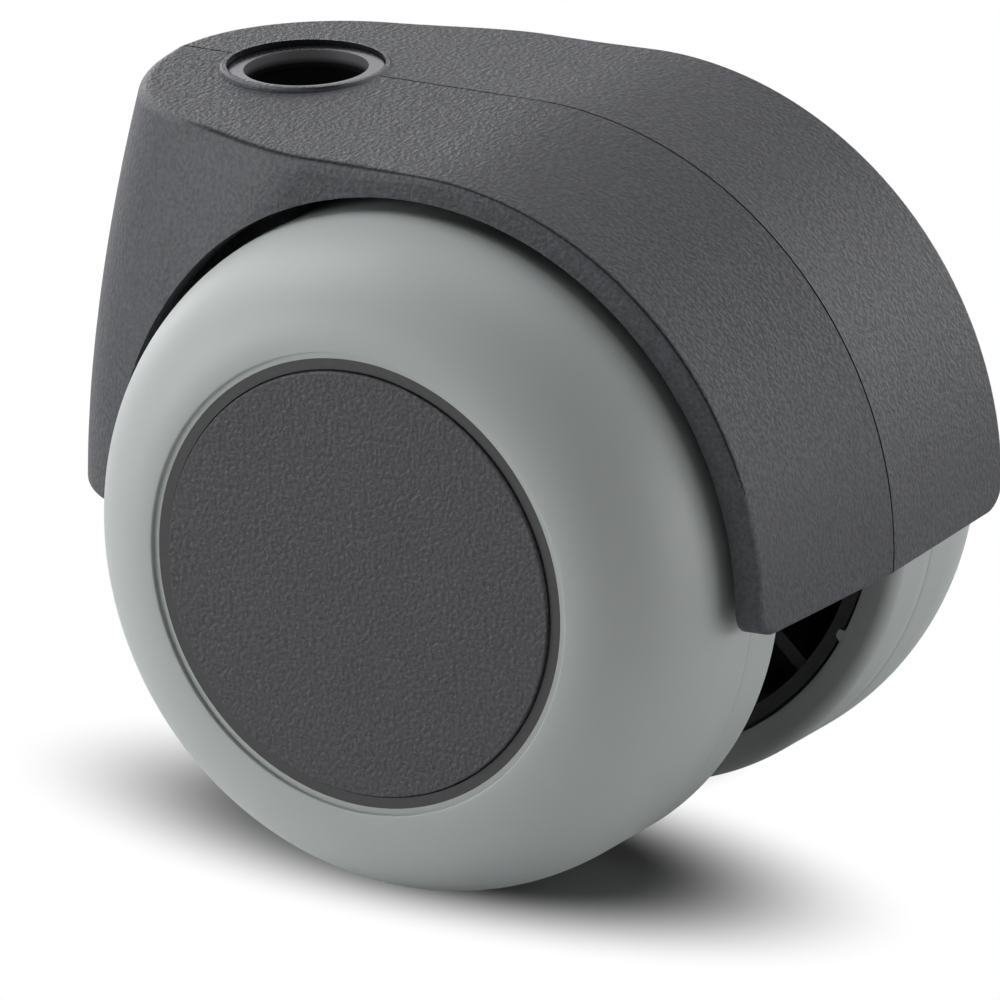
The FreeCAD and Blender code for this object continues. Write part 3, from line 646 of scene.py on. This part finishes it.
def white_floor_material(stage):
    """White floor: to the camera it takes the shadow close to the wheels, partly real and partly
    painted as a darker tone, is plain white further out and where nothing stands over it, and is clear
    from below."""
    material = bpy.data.materials.new("floor_white")
    material.use_nodes = True
    tree = material.node_tree
    tree.nodes.clear()
    place = add_node(tree, "TexCoord").outputs["Object"]
    left = outside_oval(tree, place, SHADE_LEFT, stage.shadow_turn,
                        stage.shadow_across, stage.shadow_along)
    right = outside_oval(tree, place, SHADE_RIGHT, 0.0,
                         0.6 * stage.shadow_across, 0.36 * stage.shadow_along)
    seen = add_node(tree, "LightPath").outputs["Is Camera Ray"]
    open_sky = add_node(tree, "AmbientOcclusion", {"Distance": SKY_REACH}, samples=16).outputs["AO"]
    bare = add_node(tree, "MapRange", {"Value": open_sky, "From Min": 0.78, "From Max": 0.97}).outputs[0]
    factor = maths(tree, "MAXIMUM", maths(tree, "MINIMUM", left, right), bare)
    factor = maths(tree, "MULTIPLY", factor, seen)
    # Painted shadow: to the camera the floor's colour is darkened to a set tone
    tint = shade_between(tree, seen, (1, 1, 1), PAINTED_SHADOW_TONE)
    diffuse = add_node(tree, "BsdfDiffuse", {"Color": tint})
    white = add_node(tree, "Emission", {"Color": (1, 1, 1, 1), "Strength": 1.0})
    mix = add_node(tree, "MixShader", {0: factor, 1: diffuse.outputs[0], 2: white.outputs[0]})
    clear = add_node(tree, "BsdfTransparent")
    below = maths(tree, "MULTIPLY", add_node(tree, "NewGeometry").outputs["Backfacing"], seen)
    mix = add_node(tree, "MixShader", {0: below, 1: mix.outputs[0], 2: clear.outputs[0]})
    add_node(tree, "OutputMaterial", {"Surface": mix.outputs[0]})
    return material


def white_world(mirrored):
    """World that is plain white to the camera, dimmer in reflections, and gives no other
    light."""
    world = bpy.data.worlds.new("white_world")
    bpy.context.scene.world = world
    world.use_nodes = True
    tree = world.node_tree
    tree.nodes.clear()
    path = add_node(tree, "LightPath").outputs
    strength = maths(tree, "MULTIPLY", path["Is Glossy Ray"], mirrored)
    strength = maths(tree, "MAXIMUM", strength, path["Is Camera Ray"])
    strength = maths(tree, "MAXIMUM", strength, path["Is Transmission Ray"])
    light = add_node(tree, "Background", {"Color": (1, 1, 1, 1), "Strength": strength})
    add_node(tree, "OutputWorld", {"Surface": light.outputs[0]})


class CASTER_OT_stage(bpy.types.Operator):
    """Sets the floor, the lamps, the world and the camera"""
    bl_idname = "caster.stage"
    bl_label = "Stage"

    def execute(self, context):
        stage = context.scene.caster_stage
        right, up, back = view_axes(stage)
        corners = FLOOR_REACH * np.array([(-1, -1), (1, -1), (1, 1), (-1, 1)])
        mesh = bpy.data.meshes.new("floor")
        mesh.from_pydata(np.column_stack([corners, np.full(4, FLOOR_Z)]), [], [(0, 1, 2, 3)])
        floor = bpy.data.objects.new("floor", mesh)
        context.scene.collection.objects.link(floor)
        dress(floor, white_floor_material(stage))
        for name, (along, rise, nearer) in LAMP_WAYS.items():
            softbox(name, along * right + rise * up + nearer * back, getattr(stage, name))
        white_world(stage.mirrored)
        lens = bpy.data.cameras.new("camera")
        lens.sensor_width = 36.0
        lens.lens = stage.lens
        lens.shift_x, lens.shift_y = LENS_SHIFT
        lens.clip_end = 10.0
        camera = bpy.data.objects.new("camera", lens)
        camera.matrix_world = Matrix.Translation(AXLE + stage.distance * back) @ \
            Matrix((right, up, back)).transposed().to_4x4()
        context.scene.collection.objects.link(camera)
        context.scene.camera = camera
        context.scene.view_settings.view_transform = "Standard"
        return {"FINISHED"}


class CASTER_PT_looks(bpy.types.Panel):
    """Sidebar panel with the caster's settings and steps"""
    bl_label = "Caster looks"
    bl_idname = "CASTER_PT_looks"
    bl_space_type = "VIEW_3D"
    bl_region_type = "UI"
    bl_category = "Caster"

    def draw(self, context):
        for group in settings():
            for key in group.__annotations__:
                self.layout.prop(group, key)
        for step in STEPS:
            self.layout.operator(step.bl_idname)


STEPS = (CASTER_OT_hood, CASTER_OT_tyres, CASTER_OT_wheels, CASTER_OT_steel, CASTER_OT_stage)
GROUPS_OF_SETTINGS = {
    "caster_hood": CasterHoodSettings,
    "caster_wheels": CasterWheelSettings,
    "caster_steel": CasterSteelSettings,
    "caster_stage": CasterStageSettings,
}


def register():
    """Adds the settings, the operators and the panel."""
    for key, group in GROUPS_OF_SETTINGS.items():
        bpy.utils.register_class(group)
        setattr(bpy.types.Scene, key, PointerProperty(type=group))
    for step in STEPS + (CASTER_PT_looks,):
        bpy.utils.register_class(step)


def unregister():
    """Takes them away again."""
    for step in (CASTER_PT_looks,) + STEPS[::-1]:
        bpy.utils.unregister_class(step)
    for key, group in GROUPS_OF_SETTINGS.items():
        delattr(bpy.types.Scene, key)
        bpy.utils.unregister_class(group)


def main():
    """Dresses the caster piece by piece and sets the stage."""
    register()
    bpy.ops.caster.hood()
    bpy.ops.caster.tyres()
    bpy.ops.caster.wheels()
    bpy.ops.caster.steel()
    bpy.ops.caster.stage()


if __name__ == "__main__":
    main()
